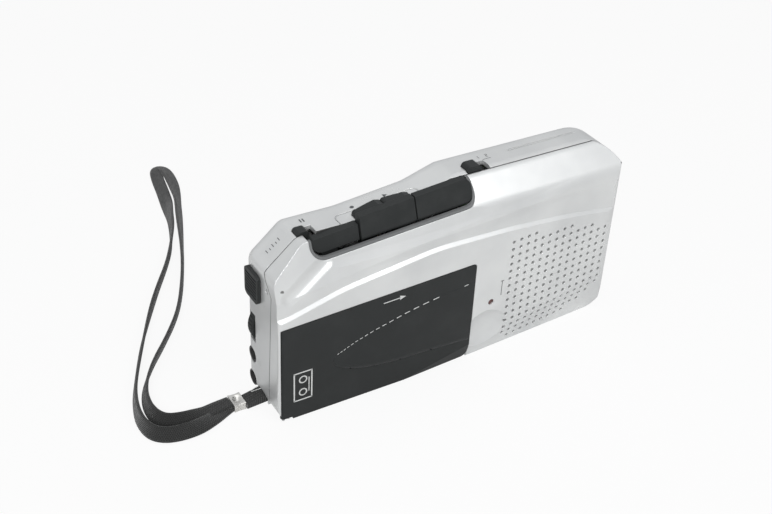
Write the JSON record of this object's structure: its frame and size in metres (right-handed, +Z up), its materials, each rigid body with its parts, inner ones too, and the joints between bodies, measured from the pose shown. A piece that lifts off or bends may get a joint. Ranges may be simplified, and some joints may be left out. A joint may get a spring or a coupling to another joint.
{
  "type": "microcassette recorder",
  "caption": "Pocket tape recorder with a hinged cassette lid, a bank of wedge-shaped keys, slide switches, a speaker grille and a flat woven wrist strap.",
  "frame": {"origin": "centre of the bounding box of the recorder without its strap, at the level of the floor it stands on", "axes": "+X along the case from the socket end to the speaker end, +Y from the front with the lid to the back, +Z up"},
  "size_m": [0.1549, 0.1513, 0.0633],
  "materials": {
    "silver_case": "satin silver paint on plastic",
    "black_plastic": "fine matte grain",
    "pocket_lip": "smooth mid grey",
    "window": "dark smoked",
    "steel": "plain",
    "chrome_trim": "worn plating",
    "brass": "turned",
    "rubber": "matt",
    "board": "laminate",
    "chip": "moulded",
    "capacitor": "sleeve",
    "lamp": "unlit, dark",
    "cone": null,
    "strap": "woven tape"
  },
  "bodies": {
    "case": {"front_shell": "silver_case", "key_surround": "pocket_lip", "back_shell": "silver_case", "lid_hinge_pin": "steel", "key_frame": "black_plastic", "deck_plate": "steel", "capstan_bearing": "brass", "motor": "steel", "drive_belt": "rubber", "mode_switch": "black_plastic", "volume_control": "steel", "earphone_socket": "black_plastic", "power_socket": "black_plastic", "end_board": "board", "microphone": "steel", "lamp": "lamp", "slide_switches": "black_plastic", "battery_cells": "capacitor", "battery_contacts": "steel", "speaker_frame": "steel", "speaker_cone": "cone", "speaker_magnet": "steel", "main_board": "board", "board_chips": "chip", "board_capacitors": "capacitor", "case_screws": "steel", "strap_bar": "steel", "strap_loop": "strap", "strap_crimp": "chrome_trim", "wrist_strap": "strap"},
    "lid": {"cassette_lid": "black_plastic", "lid_window": "window"},
    "stop_key": {"stop_key": "black_plastic"},
    "rewind_key": {"rewind_key": "black_plastic"},
    "fast_forward_key": {"fast_forward_key": "black_plastic"},
    "record_key": {"record_key": "black_plastic"},
    "play_key": {"play_key": "black_plastic"},
    "head_carriage": {"head_plate": "steel", "play_head": "steel", "erase_head": "steel"},
    "pinch_roller": {"pinch_roller": "rubber"},
    "supply_spindle": {"supply_spindle": "black_plastic"},
    "take_up_spindle": {"take_up_spindle": "black_plastic"},
    "idler_gear": {"idler_gear": "black_plastic"},
    "flywheel": {"flywheel": "brass", "capstan": "steel"},
    "motor_pulley": {"motor_pulley": "brass"},
    "mode_knob": {"mode_knob": "black_plastic"},
    "volume_wheel": {"volume_wheel": "black_plastic"},
    "pause_slide": {"pause_slide": "black_plastic"},
    "speed_slide": {"speed_slide": "black_plastic"},
    "battery_cover": {"battery_cover": "silver_case"}
  },
  "joints": [
    {"name": "lid_hinge", "type": "hinge", "parent": "case", "child": "lid", "pos_m": [-0.05765, -0.01005, 0.018], "axis": [0, 0, -1], "range_deg": [0, 90]},
    {"name": "stop_key_press", "type": "slide", "parent": "case", "child": "stop_key", "axis": [0, 0, -1], "range_m": [0, 0.0024], "stiffness_N_per_m": 300, "springref_m": -0.001},
    {"name": "rewind_key_press", "type": "slide", "parent": "case", "child": "rewind_key", "axis": [0, 0, -1], "range_m": [0, 0.0024], "stiffness_N_per_m": 300, "springref_m": -0.001},
    {"name": "fast_forward_key_press", "type": "slide", "parent": "case", "child": "fast_forward_key", "axis": [0, 0, -1], "range_m": [0, 0.0024], "stiffness_N_per_m": 300, "springref_m": -0.001},
    {"name": "record_key_press", "type": "slide", "parent": "case", "child": "record_key", "axis": [0, 0, -1], "range_m": [0, 0.0024], "stiffness_N_per_m": 300, "springref_m": -0.001},
    {"name": "play_key_press", "type": "slide", "parent": "case", "child": "play_key", "axis": [0, 0, -1], "range_m": [0, 0.0024], "stiffness_N_per_m": 300, "springref_m": -0.001},
    {"name": "head_slide", "type": "slide", "parent": "case", "child": "head_carriage", "axis": [0, 0, -1], "range_m": [0, 0.0024]},
    {"name": "roller_spin", "type": "hinge", "parent": "head_carriage", "child": "pinch_roller", "pos_m": [-0.0088, -0.005, 0.0375], "axis": [0, 1, 0], "continuous": true},
    {"name": "supply_spin", "type": "hinge", "parent": "case", "child": "supply_spindle", "pos_m": [-0.0345, -0.003, 0.0174], "axis": [0, 1, 0], "continuous": true},
    {"name": "take_up_spin", "type": "hinge", "parent": "case", "child": "take_up_spindle", "pos_m": [-0.0113, -0.003, 0.0174], "axis": [0, 1, 0], "continuous": true},
    {"name": "idler_spin", "type": "hinge", "parent": "case", "child": "idler_gear", "pos_m": [-0.0229, 0.001, 0.0239], "axis": [0, 1, 0], "continuous": true},
    {"name": "flywheel_spin", "type": "hinge", "parent": "case", "child": "flywheel", "pos_m": [-0.0088, 0.001, 0.0312], "axis": [0, 1, 0], "continuous": true},
    {"name": "motor_spin", "type": "hinge", "parent": "case", "child": "motor_pulley", "pos_m": [-0.0359, 0.006, 0.0322], "axis": [0, 1, 0], "continuous": true},
    {"name": "mode_knob_slide", "type": "slide", "parent": "case", "child": "mode_knob", "axis": [0, 0, 1], "range_m": [0, 0.002]},
    {"name": "volume_turn", "type": "hinge", "parent": "case", "child": "volume_wheel", "pos_m": [-0.0528, 0.0061, 0.024], "axis": [0, 1, 0], "range_deg": [0, 270]},
    {"name": "pause_slide_move", "type": "slide", "parent": "case", "child": "pause_slide", "axis": [1, 0, 0], "range_m": [0, 0.002]},
    {"name": "speed_slide_move", "type": "slide", "parent": "case", "child": "speed_slide", "axis": [1, 0, 0], "range_m": [0, 0.003]},
    {"name": "battery_cover_slide", "type": "slide", "parent": "case", "child": "battery_cover", "axis": [1, 0, 0], "range_m": [0, 0.008]}
  ],
  "couplings": [
    {"joint": "head_slide", "follows": "play_key_press", "ratio": 1},
    {"joint": "motor_spin", "follows": "flywheel_spin", "ratio": 4.9048}
  ]
}
